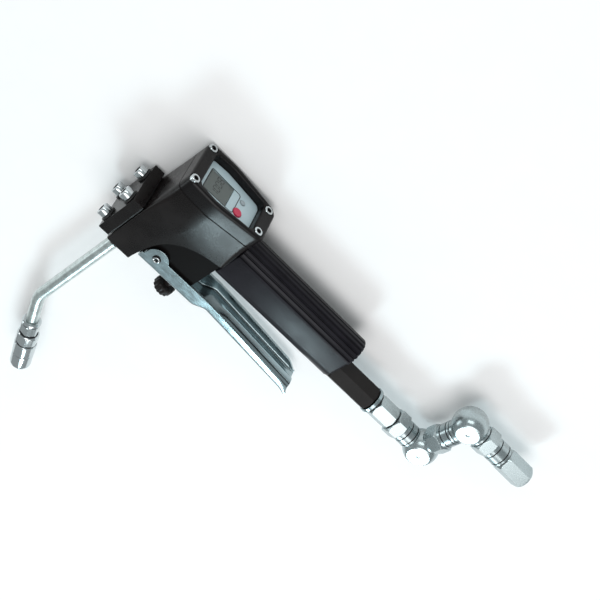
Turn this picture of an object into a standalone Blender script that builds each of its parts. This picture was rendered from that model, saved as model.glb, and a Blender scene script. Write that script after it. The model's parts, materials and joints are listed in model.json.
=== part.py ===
"""Metered grease control gun, lying on its side.

Tool frame, in millimetres: X runs along the grip towards the hose, Y towards the back,
where the display is (the nozzle points along -Y), Z across the tool. X = 0 and Z = 0 on
the outlet tube's axis. The whole model is then shifted so that the origin is the centre
of the bounding box's bottom face.
"""
import math

import bmesh
import bpy
from mathutils import Matrix, Vector

MM = 0.001
GAP = 0.3                      # clearance between pieces that touch

# Body
HALF_BODY = 21.0               # half width of the meter housing
HALF_BOSS = 10.6               # half width of the valve body between the lever's ears
TOP_X = -10.8                  # top face of the housing and of the valve body
FRONT_Y = 21.0                 # front face of the housing
COVER_Y = 46.0                 # centre of the chamber cover
COVER_HALF = 21.0
COVER_TOP_X = -21.0
BOLT_PITCH = 13.15             # half the square of cover bolts
PIPE_Y = 66.0                  # axis of the inlet pipe and the first swivel arm
BOSS_END_X = 58.2
SEAM_Y = 103.6                 # joint between housing and bezel
BEZEL_Y = 117.0                # bezel face
PLATE_Y = 110.0                # faceplate surface

# Lever
PIVOT_X, PIVOT_Y = 26.0, 32.3
EAR_RADIUS = 9.3
LEVER_HALF = 13.0
SHEET = 2.0
LEVER_END_X = 172.0
PUSH_X = 50.0                  # thumbscrew and valve axis

# Grip and inlet
GRIP_START_X, GRIP_END_X = 58.8, 175.5
GRIP_FRONT_Y, GRIP_BACK_Y = 69.0, 85.0
GRIP_HALF = 13.0
INLET_END_X = 217.0

# Nozzle
TUBE_R = 5.0
BEND_Y = -96.3
BEND_ANGLE = math.radians(24.8)
BEND_RADIUS = 30.0
COUPLER_START, COUPLER_END = 30.0, 87.0

# Swivel
ELBOW_X = 276.3
ARM_Y = 116.0                  # axis of the third arm
BALL_R = 14.6
BALL_FLAT = 11.0
HOSE_END_X = 341.0

BOLT_END_X = -28.4
BEZEL_HALF = 23.6
REST_Z = 23.523                # the bezel's side bulge, which touches the ground
SCREW_TOP_Y = BEZEL_Y + 0.6
TIP_X = COUPLER_END * math.sin(BEND_ANGLE)
TIP_Y = BEND_Y - COUPLER_END * math.cos(BEND_ANGLE)
NOSE_R = 7.4                   # radius of the coupler's end face
LOW_Y = TIP_Y - NOSE_R * math.sin(BEND_ANGLE)
HIGH_Y = ARM_Y + BALL_R
ORIGIN = Vector(((BOLT_END_X + HOSE_END_X) / 2, (HIGH_Y + LOW_Y) / 2, -REST_Z))

COLOURS = {
    "black_casting": ((0.012, 0.010, 0.010), 0.38, 0.0),
    "black_plastic": ((0.014, 0.013, 0.014), 0.42, 0.0),
    "grip_plastic": ((0.030, 0.028, 0.033), 0.48, 0.0),
    "zinc": ((0.42, 0.47, 0.48), 0.32, 1.0),
    "nickel": ((0.68, 0.70, 0.70), 0.18, 1.0),
    "steel": ((0.50, 0.51, 0.52), 0.30, 1.0),
    "blackened_steel": ((0.020, 0.019, 0.018), 0.45, 0.4),
    "faceplate": ((0.52, 0.62, 0.66), 0.45, 0.0),
    "lcd_glass": ((0.10, 0.12, 0.11), 0.15, 0.0),
    "red": ((0.60, 0.03, 0.08), 0.40, 0.0),
    "grey": ((0.42, 0.45, 0.47), 0.45, 0.0),
    "circuit_green": ((0.02, 0.16, 0.07), 0.50, 0.0),
    "battery": ((0.05, 0.12, 0.30), 0.40, 0.0),
    "rubber": ((0.010, 0.010, 0.010), 0.70, 0.0),
    "brass": ((0.62, 0.42, 0.16), 0.28, 1.0),
}


# ---------------------------------------------------------------- helpers
def clear_scene():
    for obj in list(bpy.data.objects):
        bpy.data.objects.remove(obj, do_unlink=True)


def make_material(name):
    colour, roughness, metallic = COLOURS[name]
    material = bpy.data.materials.new(name)
    material.use_nodes = True
    shader = material.node_tree.nodes["Principled BSDF"]
    shader.inputs["Base Color"].default_value = (*colour, 1.0)
    shader.inputs["Roughness"].default_value = roughness
    shader.inputs["Metallic"].default_value = metallic
    return material


MATERIALS = {}


def material(name):
    if name not in MATERIALS:
        MATERIALS[name] = make_material(name)
    return MATERIALS[name]


def place(name, bm, slot, at=(0, 0, 0), smooth=True):
    """Turn a bmesh in millimetres, relative to `at`, into a named object."""
    bmesh.ops.remove_doubles(bm, verts=bm.verts, dist=0.001)
    bmesh.ops.recalc_face_normals(bm, faces=bm.faces)
    bmesh.ops.scale(bm, vec=(MM, MM, MM), verts=bm.verts)
    mesh = bpy.data.meshes.new(name)
    bm.to_mesh(mesh)
    bm.free()
    if smooth:
        mesh.shade_smooth()
        mesh.set_sharp_from_angle(angle=math.radians(35))
    obj = bpy.data.objects.new(name, mesh)
    obj.location = (Vector(at) - ORIGIN) * MM
    bpy.context.scene.collection.objects.link(obj)
    if slot:
        mesh.materials.append(material(slot))
    return obj


def cutter(name, bm, at=(0, 0, 0)):
    obj = place(name, bm, None, at, smooth=False)
    obj.hide_render = True
    obj.display_type = "WIRE"
    return obj


def boolean(obj, operation, *tools):
    for tool in tools:
        modifier = obj.modifiers.new(operation.lower() + "_" + tool.name, "BOOLEAN")
        modifier.operation = operation
        modifier.solver = "EXACT"
        modifier.object = tool
    return obj


def cut(obj, *tools):
    return boolean(obj, "DIFFERENCE", *tools)


def rounded(corners, steps=3):
    """Outline from (a, b, radius) corners, each corner turned into an arc."""
    points = []
    count = len(corners)
    for index, (a, b, radius) in enumerate(corners):
        corner = Vector((a, b))
        before = Vector(corners[index - 1][:2]) - corner
        after = Vector(corners[(index + 1) % count][:2]) - corner
        if radius <= 0:
            points.append((a, b))
            continue
        u, v = before.normalized(), after.normalized()
        half = math.acos(max(-1.0, min(1.0, u.dot(v)))) / 2
        if half > math.radians(89.7):
            points += [tuple(corner + u * (1.0 - 2.0 * step / steps))
                       for step in range(steps + 1)]
            continue
        centre = corner + (u + v).normalized() * (radius / math.sin(half))
        start = corner + u * (radius / math.tan(half)) - centre
        sweep = start.angle_signed(corner + v * (radius / math.tan(half)) - centre)
        for step in range(steps + 1):
            turn = -sweep * step / steps
            spoke = Matrix.Rotation(turn, 2) @ start
            points.append(tuple(centre + spoke))
    return points


def axes_of(axis):
    """Maps (along, a, b) to X, Y, Z for an axis letter."""
    if axis == "X":
        return lambda along, a, b: (along, a, b)
    if axis == "Y":
        return lambda along, a, b: (a, along, b)
    return lambda along, a, b: (a, b, along)


def loft(sections, axis, closed=False):
    """Skin sections [(along, outline), ...], all with the same number of points."""
    bm = bmesh.new()
    where = axes_of(axis)
    rings = []
    for along, outline in sections:
        rings.append([bm.verts.new(where(along, a, b)) for a, b in outline])
    count = len(rings[0])
    pairs = list(zip(rings, rings[1:]))
    if closed:
        pairs.append((rings[-1], rings[0]))
    for low, high in pairs:
        for i in range(count):
            j = (i + 1) % count
            bm.faces.new((low[i], low[j], high[j], high[i]))
    if not closed:
        bm.faces.new(rings[0])
        bm.faces.new(rings[-1])
    return bm


def prism(outline, low, high, axis):
    return loft([(low, outline), (high, outline)], axis)


def box(low, high):
    outline = [(low[1], low[2]), (high[1], low[2]), (high[1], high[2]), (low[1], high[2])]
    return prism(outline, low[0], high[0], "X")


def ring_points(radius, sides, turn=0.0):
    step = 2 * math.pi / sides
    return [(radius * math.cos(turn + step * k), radius * math.sin(turn + step * k))
            for k in range(sides)]


def turned(profile, axis="X", sides=32, turn=0.0):
    """Solid of revolution. Ends at radius 0 close on the axis; otherwise it is a ring."""
    bm = bmesh.new()
    where = axes_of(axis)
    rings = []
    for along, radius in profile:
        if radius == 0:
            rings.append([bm.verts.new(where(along, 0, 0))])
        else:
            rings.append([bm.verts.new(where(along, a, b)) for a, b in
                          ring_points(radius, sides, turn)])
    pairs = list(zip(rings, rings[1:]))
    if len(rings[0]) > 1:
        pairs.append((rings[-1], rings[0]))
    for first, second in pairs:
        for i in range(sides):
            j = (i + 1) % sides
            corners = [first[i % len(first)], first[j % len(first)],
                       second[j % len(second)], second[i % len(second)]]
            unique = list(dict.fromkeys(corners))
            bm.faces.new(unique)
    return bm


def rod(radius, low, high, axis="X", sides=24, turn=0.0):
    return turned([(low, 0), (low, radius), (high, radius), (high, 0)], axis, sides, turn)


def tube(outer, inner, low, high, axis="X", sides=32):
    return turned([(low, inner), (low, outer), (high, outer), (high, inner)], axis, sides)


def hexagon(flats, low, high, axis="X", chamfer=1.2, turn=0.0):
    """Hexagon bar with both ends' corners turned down."""
    corner = flats / math.sqrt(3)
    outline = [(low, corner - chamfer), (low + chamfer * 0.6, corner),
               (high - chamfer * 0.6, corner), (high, corner - chamfer)]
    return turned([(low, 0), *outline, (high, 0)], axis, 6, turn)


def spin_about(bm, angle, axis="Z"):
    bmesh.ops.rotate(bm, cent=(0, 0, 0), matrix=Matrix.Rotation(angle, 3, axis), verts=bm.verts)
    return bm


# ---------------------------------------------------------------- outlines
def shell_outline(front, inset=0.0):
    """Cross-section of the housing at share `front` (0 at the bezel, 1 at the front)."""
    waist = BEZEL_HALF + (HALF_BODY - BEZEL_HALF) * front - inset
    top = 22.3 + (HALF_BODY - 22.3) * front - inset
    foot = 17.0 + (HALF_BODY - 17.0) * front - inset
    crown = 8.0 - 6.5 * front
    low = BOSS_END_X - 0.8 - inset
    high = TOP_X + inset
    half = [(high, top, crown), (16.0, waist, 20.0), (low, foot, 7.0 - 5.0 * front)]
    return rounded(half + [(x, -z, r) for x, z, r in reversed(half)], 4)


def window_outline(inset=0.0):
    """Opening of the bezel, also the rear cavity of the housing."""
    half = [(-1.8 + inset, 17.6 - inset, 4.0), (14.0, 19.0 - inset, 15.0),
            (46.5 - inset, 15.2 - inset, 5.0)]
    return rounded(half + [(x, -z, r) for x, z, r in reversed(half)], 4)


def grip_outline(ridges=11, depth=1.2):
    """Half round front, flat sides, round back with ridges along the grip."""
    points = []
    for step in range(13):
        angle = math.pi / 2 + math.pi * step / 12
        points.append((GRIP_FRONT_Y + GRIP_HALF * math.cos(angle), GRIP_HALF * math.sin(angle)))
    pitch = math.pi / ridges
    back = []
    for ridge in range(ridges):
        start = -math.pi / 2 + pitch * ridge
        for share, sink in ((0.0, depth), (0.18, depth), (0.36, 0.0), (0.82, 0.0)):
            back.append((start + pitch * share, sink))
    for angle, sink in back:
        radius_y, radius_z = 15.0 - sink, GRIP_HALF - sink
        points.append((GRIP_BACK_Y + radius_y * math.cos(angle), radius_z * math.sin(angle)))
    points.append((GRIP_BACK_Y, GRIP_HALF - depth))
    return points


# ---------------------------------------------------------------- body
def arch_points():
    """Lower edge of the housing's side walls, seen from the side, front to back."""
    return [(10.4, FRONT_Y - 2), (10.9, 31.0), (13.6, 45.0), (18.5, 57.0), (28.0, 67.0),
            (40.0, 72.5), (51.0, 75.5)]


def meter_housing():
    fronts = [(FRONT_Y, 1.0), (67.0, 1.0), (78.0, 0.72), (90.0, 0.3), (SEAM_Y, 0.0)]
    shell = place("meter_housing", loft([(y, shell_outline(f)) for y, f in fronts], "Y"),
                  "black_casting")
    under = arch_points() + [(70.0, 75.5), (70.0, FRONT_Y - 2)]
    hollow = box((TOP_X + 2.9, FRONT_Y + 3.0, -18.2), (70.0, 75.6, 18.2))
    rear = prism(window_outline(), 74.0, SEAM_Y + 2, "Y")
    seat = box((TOP_X - 2, 27.9, -18.2), (0.0, 64.1, 18.2))
    cutters = [
        cutter("cut_under_arch", prism(under, -30, 30, "Z")),
        cutter("cut_front_hollow", hollow),
        cutter("cut_rear_hollow", rear),
        cutter("cut_body_seat", seat),
        cutter("cut_outlet_hole", rod(7.4, FRONT_Y - 3, FRONT_Y + 6, "Y")),
        cutter("cut_front_edge", prism([(TOP_X - 3, FRONT_Y - 3), (TOP_X + 3.6, FRONT_Y - 3),
                                        (TOP_X + 3.6, FRONT_Y), (TOP_X + 1.2, FRONT_Y + 1.2),
                                        (TOP_X, FRONT_Y + 3.6), (TOP_X - 3, FRONT_Y + 3.6)],
                                       -30, 30, "Z")),
    ]
    for index, (x, z) in enumerate(bezel_screw_places(), 1):
        cutters.append(cutter("cut_housing_screw_%d" % index,
                              rod(2.1, 86, SEAM_Y + 1, "Y", 12), (x, 0, z)))
    cut(shell, *cutters)


def boss_outline():
    """Side view of the valve body between the lever's ears."""
    nose = []
    for step in range(7):
        angle = math.radians(205 + 90 * step / 6)
        nose.append((PIVOT_X + 7.4 * math.cos(angle), PIVOT_Y + 7.4 * math.sin(angle)))
    return nose + [(36.0, 31.6), (BOSS_END_X, 31.6), (BOSS_END_X, 75.0), (9.0, 75.0),
                   (9.0, 33.0), (15.0, 33.0)]


def gear_lobes(radius, spread=6.5):
    """Outline of two overlapping round pockets side by side across the tool."""
    sweep = math.pi - math.acos(spread / radius)
    lobes = []
    for side in (1, -1):
        for step in range(15):
            angle = -sweep + 2 * sweep * step / 14
            y = radius * math.sin(angle)
            z = spread + radius * math.cos(angle)
            lobes.append((COVER_Y + y * side, z * side))
    return lobes


def valve_body():
    body = place("valve_body", prism(boss_outline(), -HALF_BOSS, HALF_BOSS, "Z"),
                 "black_casting")
    upper = cutter("join_upper_block", box((TOP_X, 28.3, -17.7), (9.2, 63.7, 17.7)))
    boolean(body, "UNION", upper)
    outlet = [(20, 0), (20, 6.8), (34, 6.8), (34, 2.4), (42.5, 2.4), (42.5, 0)]
    valve = [(28, 0), (28, 5.0), (35.4, 5.0), (35.4, 3.3), (42, 3.3), (42, 5.4), (59.2, 5.4),
             (59.2, 2.2), (PIPE_Y, 2.2), (PIPE_Y, 0)]
    cutters = [
        cutter("cut_gear_pocket", prism(gear_lobes(8.2), TOP_X - 2, -3.4, "X")),
        cutter("cut_outlet_bore", turned(outlet, "Y", 24)),
        cutter("cut_outlet_rise", rod(1.6, -5, 0, "X", 12), (0, 41.6, 0)),
        cutter("cut_passage", rod(2.2, -5, PUSH_X - 2, "X", 12), (0, 51.2, 0)),
        cutter("cut_valve_bore", turned(valve, "Y", 24, 0.05), (PUSH_X, 0, 0)),
        cutter("cut_pipe_thread", rod(6.4, 46.5, BOSS_END_X + 2, "X"), (0, PIPE_Y, 0)),
        cutter("cut_pivot_hole", rod(3.3, -20, 20, "Z"), (PIVOT_X, PIVOT_Y, 0)),
    ]
    for index, (y, z) in enumerate(cover_bolt_places(), 1):
        cutters.append(cutter("cut_body_bolt_%d" % index,
                              rod(3.3, TOP_X - 2, 0.5, "X", 12), (0, y, z)))
    for side in (1, -1):
        cutters.append(cutter("cut_shaft_%s" % ("a" if side > 0 else "b"),
                              rod(1.7, -5, 3.0, "X", 12), (0, COVER_Y, 6.5 * side)))
    cut(body, *cutters)


def cover_bolt_places():
    return [(COVER_Y + a * BOLT_PITCH, b * BOLT_PITCH) for a in (-1, 1) for b in (1, -1)]


def bezel_screw_places():
    return [(-6.6, 18.0), (-6.6, -18.0), (50.9, 12.0), (50.9, -12.0)]


def chamber_cover():
    half = COVER_HALF
    rear = [(COVER_Y + half - 2.2 * math.cos(math.pi / 2 * t / 3), half * t / 3)
            for t in (3, 2, 1, 0, -1, -2, -3)]
    outline = [(COVER_Y - half, half)] + rear + [(COVER_Y - half, -half)]
    cover = place("chamber_cover", prism(outline, COVER_TOP_X, TOP_X - 1.2, "X"),
                  "black_casting", smooth=False)
    cut(cover, *[cutter("cut_cover_bolt_%d" % i, rod(3.4, -25, 0, "X", 12), (0, y, z))
                 for i, (y, z) in enumerate(cover_bolt_places(), 1)])
    gasket = place("chamber_gasket", box((TOP_X - 0.9, COVER_Y - 19.5, -19.5),
                                         (TOP_X - 0.3, COVER_Y + 17.8, 19.5)), "rubber")
    cut(gasket, *[cutter("cut_gasket_bolt_%d" % i, rod(3.4, -15, 0, "X", 12), (0, y, z))
                  for i, (y, z) in enumerate(cover_bolt_places(), 1)])
    cut(gasket, cutter("cut_gasket_pocket", prism(gear_lobes(8.2), -15, 0, "X")))


def cover_bolts():
    """Four M6 socket head screws with washers."""
    seat = COVER_TOP_X - GAP
    for index, (y, z) in enumerate(cover_bolt_places(), 1):
        place("cover_washer_%d" % index, tube(6.1, 3.4, seat - 1.2, seat, sides=20), "rubber",
              (0, y, z))
        under = seat - 1.2 - 0.2
        profile = [(BOLT_END_X + 2.8, 0), (BOLT_END_X + 2.8, 2.8), (BOLT_END_X, 2.8),
                   (BOLT_END_X, 4.3), (BOLT_END_X + 0.6, 5.0), (under, 5.0), (under, 3.0),
                   (-1.5, 3.0), (-0.5, 2.4), (-0.5, 0)]
        place("cover_bolt_%d" % index, turned(profile, "X", 18), "nickel", (0, y, z))


def oval_gears():
    """The metering pair: two ovals at right angles, turning against each other."""
    for index, side in enumerate((1, -1), 1):
        long_y = 7.2 if side > 0 else 4.9
        long_z = 4.9 if side > 0 else 7.2
        outline = [(long_y * math.cos(2 * math.pi * k / 28), long_z * math.sin(2 * math.pi * k / 28))
                   for k in range(28)]
        gear = place("oval_gear_%d" % index, prism(outline, -3.1, 3.1, "X"), "steel",
                     (-7.0, COVER_Y, 6.5 * side))
        cut(gear, cutter("cut_gear_bore_%d" % index, rod(1.75, -5, 5, "X", 12),
                         (-7.0, COVER_Y, 6.5 * side)))
        place("gear_shaft_%d" % index, rod(1.4, -10.3, 2.4, "X", 12), "steel",
              (0, COVER_Y, 6.5 * side))


# ---------------------------------------------------------------- valve
def valve_parts():
    rod_end = 29.6
    profile = [(rod_end, 0), (rod_end, 2.6), (rod_end + 0.5, 3.0), (46.2, 3.0), (46.2, 4.6),
               (47.6, 4.6), (48.6, 2.4), (50.2, 2.4), (50.2, 0)]
    place("valve_plunger", turned(profile, "Y", 20), "steel", (PUSH_X, 0, 0))
    place("plunger_seal", tube(4.7, 3.35, 32.2, 34.8, "Y", 20), "rubber", (PUSH_X, 0, 0))
    place("valve_seat", tube(5.1, 3.4, 42.3, 45.8, "Y", 20), "brass", (PUSH_X, 0, 0))
    place("valve_spring", coil(3.6, 0.45, 48.9, 58.6, 6), "steel", (PUSH_X, 0, 0))


def coil(radius, wire, low, high, turns, sides=6, steps=10, axis="Y"):
    """Helical spring along an axis, closed at both ends."""
    bm = bmesh.new()
    where = axes_of(axis)
    rings = []
    count = turns * steps
    for k in range(count + 1):
        angle = 2 * math.pi * k / steps
        centre = low + wire + (high - low - 2 * wire) * k / count
        ring = []
        for s in range(sides):
            spin = 2 * math.pi * s / sides
            reach = radius + wire * math.cos(spin)
            along = centre + wire * math.sin(spin)
            ring.append(bm.verts.new(where(along, reach * math.cos(angle),
                                           reach * math.sin(angle))))
        rings.append(ring)
    for first, second in zip(rings, rings[1:]):
        for i in range(sides):
            j = (i + 1) % sides
            bm.faces.new((first[i], first[j], second[j], second[i]))
    bm.faces.new(rings[0])
    bm.faces.new(rings[-1])
    return bm


# ---------------------------------------------------------------- outlet
def outlet_tube():
    nut = place("outlet_nut", hexagon(15.0, 7.0, FRONT_Y - GAP, "Y"), "blackened_steel")
    cut(nut, cutter("cut_outlet_nut", rod(TUBE_R + 0.3, 5.0, 23.0, "Y")))
    place("outlet_adapter", tube(6.5, TUBE_R + 0.3, FRONT_Y, 33.6, "Y", 24), "steel")
    direction = Vector((math.sin(BEND_ANGLE), -math.cos(BEND_ANGLE), 0))
    tangent = BEND_RADIUS * math.tan(BEND_ANGLE / 2)
    vertex = Vector((0, BEND_Y, 0))
    route = [(Vector((0, 31.0, 0)), 0.0)]
    for step in range(9):
        angle = BEND_ANGLE * step / 8
        route.append((vertex + Vector((BEND_RADIUS * (1 - math.cos(angle)),
                                       tangent - BEND_RADIUS * math.sin(angle), 0)), angle))
    route.append((vertex + direction * (COUPLER_START + 9.0), BEND_ANGLE))
    bm = bmesh.new()
    sides = 20
    outer, inner = [], []
    for centre, angle in route:
        across = Vector((math.cos(angle), math.sin(angle), 0))
        for rings, radius in ((outer, TUBE_R), (inner, 2.2)):
            rings.append([bm.verts.new(centre + across * a + Vector((0, 0, b)))
                          for a, b in ring_points(radius, sides)])
    for rings in (outer, inner):
        for first, second in zip(rings, rings[1:]):
            for i in range(sides):
                j = (i + 1) % sides
                bm.faces.new((first[i], first[j], second[j], second[i]))
    for end in (0, -1):
        for i in range(sides):
            j = (i + 1) % sides
            bm.faces.new((outer[end][i], outer[end][j], inner[end][j], inner[end][i]))
    place("outlet_tube", bm, "zinc")


def on_nozzle(bm):
    """Lay a piece that was made along +Y (0 at the bend) on the nozzle's axis."""
    return spin_about(bm, math.pi + BEND_ANGLE)


def coupler():
    at = (0, BEND_Y, 0)
    adapter = [(30.0, TUBE_R + 0.3), (30.0, 6.6), (31.0, 7.9), (45.2, 7.9), (45.2, 6.2),
               (54.0, 6.2), (54.0, 2.4), (39.4, 2.4), (39.4, TUBE_R + 0.3)]
    place("coupler_adapter", on_nozzle(turned(adapter, "Y", 28)), "nickel", at)
    body = [(45.6, 6.5), (45.6, 8.2), (47.6, 9.2), (71.4, 9.2), (71.4, 6.6), (54.4, 6.6),
            (54.4, 6.5)]
    place("coupler_body", on_nozzle(turned(body, "Y", 28)), "nickel", at)
    sleeve = [(71.8, 7.0), (71.8, 8.9), (84.0, 8.9), (COUPLER_END, NOSE_R),
              (COUPLER_END, 5.2), (82.0, 6.4)]
    place("coupler_sleeve", on_nozzle(turned(sleeve, "Y", 28)), "nickel", at)
    place("coupler_seal", on_nozzle(turned([(66.0, 1.5), (66.0, 4.4), (76.6, 4.4), (76.6, 1.5)],
                                           "Y", 16)), "rubber", at)
    place("coupler_spring", on_nozzle(coil(3.7, 0.5, 55.4, 65.4, 5)), "steel", at)
    for index in range(4):
        place("coupler_jaw_%d" % (index + 1), on_nozzle(jaw(index)), "steel", at)


def jaw(index, span=math.radians(78), steps=5):
    """One quarter of the split collet that grips the grease nipple."""
    bm = bmesh.new()
    start = index * math.pi / 2 + math.pi / 4
    profile = [(77.2, 4.3), (77.2, 6.2), (81.4, 5.9), (86.2, 5.0), (86.2, 4.0), (84.0, 4.1)]
    rings = []
    for k in range(steps + 1):
        angle = start - span / 2 + span * k / steps
        rings.append([bm.verts.new((r * math.cos(angle), along, r * math.sin(angle)))
                      for along, r in profile])
    count = len(profile)
    for first, second in zip(rings, rings[1:]):
        for i in range(count):
            j = (i + 1) % count
            bm.faces.new((first[i], first[j], second[j], second[i]))
    bm.faces.new(rings[0])
    bm.faces.new(rings[-1])
    return bm


# ---------------------------------------------------------------- display
def bezel():
    rounding = [(-2.6, 0.0), (-1.1, 0.45), (-0.3, 1.2), (0.0, 1.9)]
    sections = [(SEAM_Y + GAP, shell_outline(0.0))]
    sections += [(BEZEL_Y + step, shell_outline(0.0, inset)) for step, inset in rounding]
    frame = place("bezel", loft(sections, "Y"), "black_plastic")
    cutters = [cutter("cut_window", prism(window_outline(), SEAM_Y - 3, BEZEL_Y + 3, "Y"))]
    for index, (x, z) in enumerate(bezel_screw_places(), 1):
        hole = turned([(SEAM_Y - 2, 0), (SEAM_Y - 2, 2.3), (BEZEL_Y - 1.8, 2.3),
                       (BEZEL_Y - 1.8, 4.0), (BEZEL_Y + 2, 4.0), (BEZEL_Y + 2, 0)], "Y", 20)
        cutters.append(cutter("cut_bezel_screw_%d" % index, hole, (x, 0, z)))
    cut(frame, *cutters)
    for index, (x, z) in enumerate(bezel_screw_places(), 1):
        profile = [(88.0, 0), (88.0, 1.8), (BEZEL_Y - 1.5, 1.8), (BEZEL_Y - 1.5, 3.7),
                   (BEZEL_Y - 0.4, 3.6), (SCREW_TOP_Y, 2.7), (SCREW_TOP_Y, 1.6),
                   (BEZEL_Y - 1.0, 1.6), (BEZEL_Y - 1.0, 0)]
        place("bezel_screw_%d" % index, turned(profile, "Y", 18), "nickel", (x, 0, z))


RED_AT = (33.3, 5.6)
GREY_AT = (33.6, -5.8)
LCD_X, LCD_HALF = (2.8, 23.4), 10.0


def display():
    plate = place("faceplate", prism(window_outline(0.35), PLATE_Y - 2.0, PLATE_Y, "Y"),
                  "faceplate", smooth=False)
    cut(plate,
        cutter("cut_lcd", box((LCD_X[0] - 0.3, 100, -LCD_HALF - 0.3),
                              (LCD_X[1] + 0.3, 120, LCD_HALF + 0.3))),
        cutter("cut_red", rod(4.0, 100, 120, "Y"), (RED_AT[0], 0, RED_AT[1])),
        cutter("cut_grey", rod(2.4, 100, 120, "Y", 16), (GREY_AT[0], 0, GREY_AT[1])))
    place("lcd_panel", box((LCD_X[0], PLATE_Y - 2.4, -LCD_HALF),
                           (LCD_X[1], PLATE_Y - 0.3, LCD_HALF)), "lcd_glass", smooth=False)
    for name, (x, z), radius, slot in (("red_button", RED_AT, 3.7, "red"),
                                       ("grey_button", GREY_AT, 2.1, "grey")):
        profile = [(PLATE_Y - 4.0, 0), (PLATE_Y - 4.0, radius + 0.9),
                   (PLATE_Y - 2.5, radius + 0.9), (PLATE_Y - 2.5, radius),
                   (PLATE_Y + 0.4, radius), (PLATE_Y + 0.8, radius - 0.5), (PLATE_Y + 0.8, 0)]
        place(name, turned(profile, "Y", 20), slot, (x, 0, z))
    place("circuit_board", box((2.0, 100.0, -13.0), (45.0, 101.6, 13.0)), "circuit_green",
          smooth=False)
    place("battery", turned([(10.0, 0), (10.0, 6.6), (10.6, 7.1), (34.0, 7.1), (34.4, 6.6),
                             (34.4, 3.0), (35.4, 3.0), (35.4, 0)], "X", 20),
          "battery", (0, 89.0, 0))


# ---------------------------------------------------------------- grip and inlet
def grip():
    handle = place("grip", prism(grip_outline(), GRIP_START_X, GRIP_END_X, "X"), "grip_plastic")
    cut(handle,
        cutter("cut_pipe_bore", rod(6.4, GRIP_START_X - 2, GRIP_END_X - 10, "X"),
               (0, PIPE_Y, 0)),
        cutter("cut_inlet_socket", rod(8.4, GRIP_END_X - 12, GRIP_END_X + 2, "X"),
               (0, PIPE_Y, 0)))
    at = (0, PIPE_Y, 0)
    place("inlet_pipe", tube(6.0, 3.6, 47.0, GRIP_END_X - 12.6, "X", 24), "steel", at)
    adapter = place("inlet_adapter", hexagon(19.6, GRIP_END_X + GAP, INLET_END_X, turn=0.26),
                    "blackened_steel", at)
    spigot = cutter("join_inlet_spigot", rod(8.0, GRIP_END_X - 11.6, GRIP_END_X + 2, "X"), at)
    boolean(adapter, "UNION", spigot)
    cut(adapter, cutter("cut_inlet_bore", rod(6.6, GRIP_END_X - 14, INLET_END_X + 2, "X"), at))


# ---------------------------------------------------------------- swivel
def swivel_case(name, start, end, axis, at):
    """Hexagon and round collar, bored through for the running spigots."""
    case = place(name, hexagon(20.4, start, start + 11.0, axis, turn=0.1), "nickel", at)
    boolean(case, "UNION",
            cutter("join_" + name, rod(9.7, start + 9.0, end, axis, 32), at))
    cut(case, cutter("cut_" + name, rod(6.5, start - 2.0, end + 2.0, axis, 24), at))


def ball(name, at, spigots):
    """Round elbow with flat ends, and a bored spigot on each arm."""
    profile = [(-BALL_FLAT, 0)]
    flat = math.acos(BALL_FLAT / BALL_R)
    for step in range(9):
        angle = math.pi - flat - (math.pi - 2 * flat) * step / 8
        profile.append((BALL_R * math.cos(angle), BALL_R * math.sin(angle)))
    profile.append((BALL_FLAT, 0))
    elbow = place(name, turned(profile, "Z", 32), "nickel", at)
    for index, (axis, sign, reach, shoulder) in enumerate(spigots):
        low, high = sorted((sign * (shoulder - 0.25), sign * 20.0))
        cut(elbow, cutter("trim_%s_%d" % (name, index), rod(16.0, low, high, axis), at))
        spigot = [(sign * 7.0, 0), (sign * 7.0, 9.0), (sign * shoulder, 9.0),
                  (sign * shoulder, 6.0), (sign * reach, 6.0), (sign * reach, 0)]
        boolean(elbow, "UNION",
                cutter("join_%s_%d" % (name, index), turned(spigot, axis, 28), at))
    for index, (axis, sign, reach, shoulder) in enumerate(spigots):
        low, high = sorted((-sign * (1.0 - index), sign * (reach + 3)))
        cut(elbow, cutter("cut_%s_%d" % (name, index),
                          rod(2.5 - 0.4 * index, low, high, axis, 12, 0.1), at))
    return elbow


def swivel():
    arm_1, arm_3 = (0, PIPE_Y, 0), (0, ARM_Y, 0)
    place("inlet_collar", tube(10.9, 6.7, INLET_END_X + GAP, INLET_END_X + 3.2, "X", 32),
          "zinc", arm_1)
    place("inlet_gasket", tube(9.4, 6.7, INLET_END_X + 3.5, INLET_END_X + 4.9, "X", 32),
          "rubber", arm_1)
    nut = place("swivel_nut", hexagon(17.4, INLET_END_X + 5.2, 241.6, turn=0.1), "nickel", arm_1)
    boolean(nut, "UNION", cutter("join_nut_front", rod(6.2, 201.0, 224.0, "X"), arm_1),
            cutter("join_nut_rear", rod(6.1, 239.0, 249.0, "X"), arm_1))
    cut(nut, cutter("cut_nut", rod(2.5, 199.0, 252.0, "X", 12), arm_1))
    swivel_case("swivel_case_1", 242.0, 264.6, "X", arm_1)
    ball("swivel_elbow_1", (ELBOW_X, PIPE_Y, 0), [("X", -1, 26.5, 11.4), ("Y", 1, 24.0, 12.9)])
    swivel_case("swivel_case_2", 79.2, 102.0, "Y", (ELBOW_X, 0, 0))
    ball("swivel_elbow_2", (ELBOW_X, ARM_Y, 0), [("Y", -1, 25.0, 13.7), ("X", 1, 25.0, 12.9)])
    swivel_case("swivel_case_3", 289.5, 314.4, "X", arm_3)
    return place("hose_nut", hexagon(18.2, 314.8, HOSE_END_X, chamfer=2.0, turn=0.1),
                 "nickel", arm_3)


def hose_nut_bore(nut):
    at = (0, ARM_Y, 0)
    boolean(nut, "UNION", cutter("join_hose_nut", rod(6.1, 303.0, 317.0, "X"), at))
    bore = [(300.0, 0), (300.0, 2.5), (326.0, 2.5), (327.5, 5.7), (343.0, 5.7), (343.0, 0)]
    cut(nut, cutter("cut_hose_bore", turned(bore, "X", 24), at))


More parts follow.
